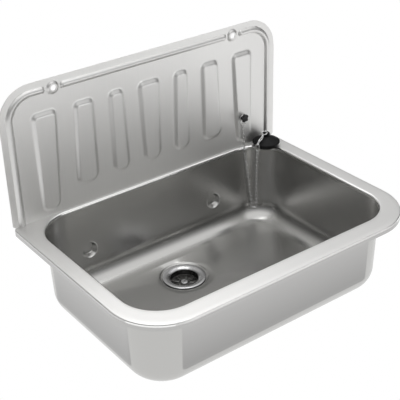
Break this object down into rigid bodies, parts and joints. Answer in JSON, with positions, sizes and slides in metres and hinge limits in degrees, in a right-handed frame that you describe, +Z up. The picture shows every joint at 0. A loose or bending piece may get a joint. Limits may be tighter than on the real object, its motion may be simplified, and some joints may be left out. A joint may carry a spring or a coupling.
{
  "type": "wall-hung slop sink",
  "caption": "Wall-hung pressed steel slop sink with a ribbed splash panel, a strainer waste and a rubber plug stored on the rim on a chain.",
  "frame": {"origin": "on the wall plane at the back of the splash panel, at the middle of the sink's width, level with the top of the rim", "axes": "+X along the wall to the right as seen by someone who faces the sink, +Y into the wall, +Z up"},
  "size_m": [0.5, 0.343, 0.4045],
  "materials": {
    "sheet": "stainless sheet with a fine brushed grain",
    "fitting_steel": "polished stainless steel",
    "chain_chrome": "bright plated wire",
    "insert_brass": "turned brass",
    "seal_rubber": "matt black rubber",
    "plug_rubber": "satin black rubber",
    "black_plastic": "black moulded plastic",
    "body_plastic": "white moulded plastic"
  },
  "bodies": {
    "sink": {"basin": "sheet", "splash_panel": "sheet", "waste_cup": "fitting_steel", "cup_seal": "seal_rubber", "waste_body": "body_plastic", "body_seal": "seal_rubber", "waste_screw": "fitting_steel", "screw_insert": "insert_brass", "rosette": "black_plastic", "rosette_screw": "fitting_steel", "rosette_washer": "fitting_steel"},
    "hung_chain": {"chain_hanger": "chain_chrome", "hanger_chain": "chain_chrome"},
    "plug_and_chain": {"plug": "plug_rubber", "plug_eye": "chain_chrome", "plug_ring": "chain_chrome", "connector_link": "chain_chrome", "plug_chain": "chain_chrome"}
  },
  "joints": [
    {"name": "chain_swing", "type": "hinge", "parent": "sink", "child": "hung_chain", "pos_m": [0.1789, -0.0082, 0.0551], "axis": [0, 1, 0], "range_deg": [0, 60]},
    {"name": "plug_lift", "type": "slide", "parent": "sink", "child": "plug_and_chain", "axis": [0, 0, 1], "range_m": [0, 0.06]}
  ]
}
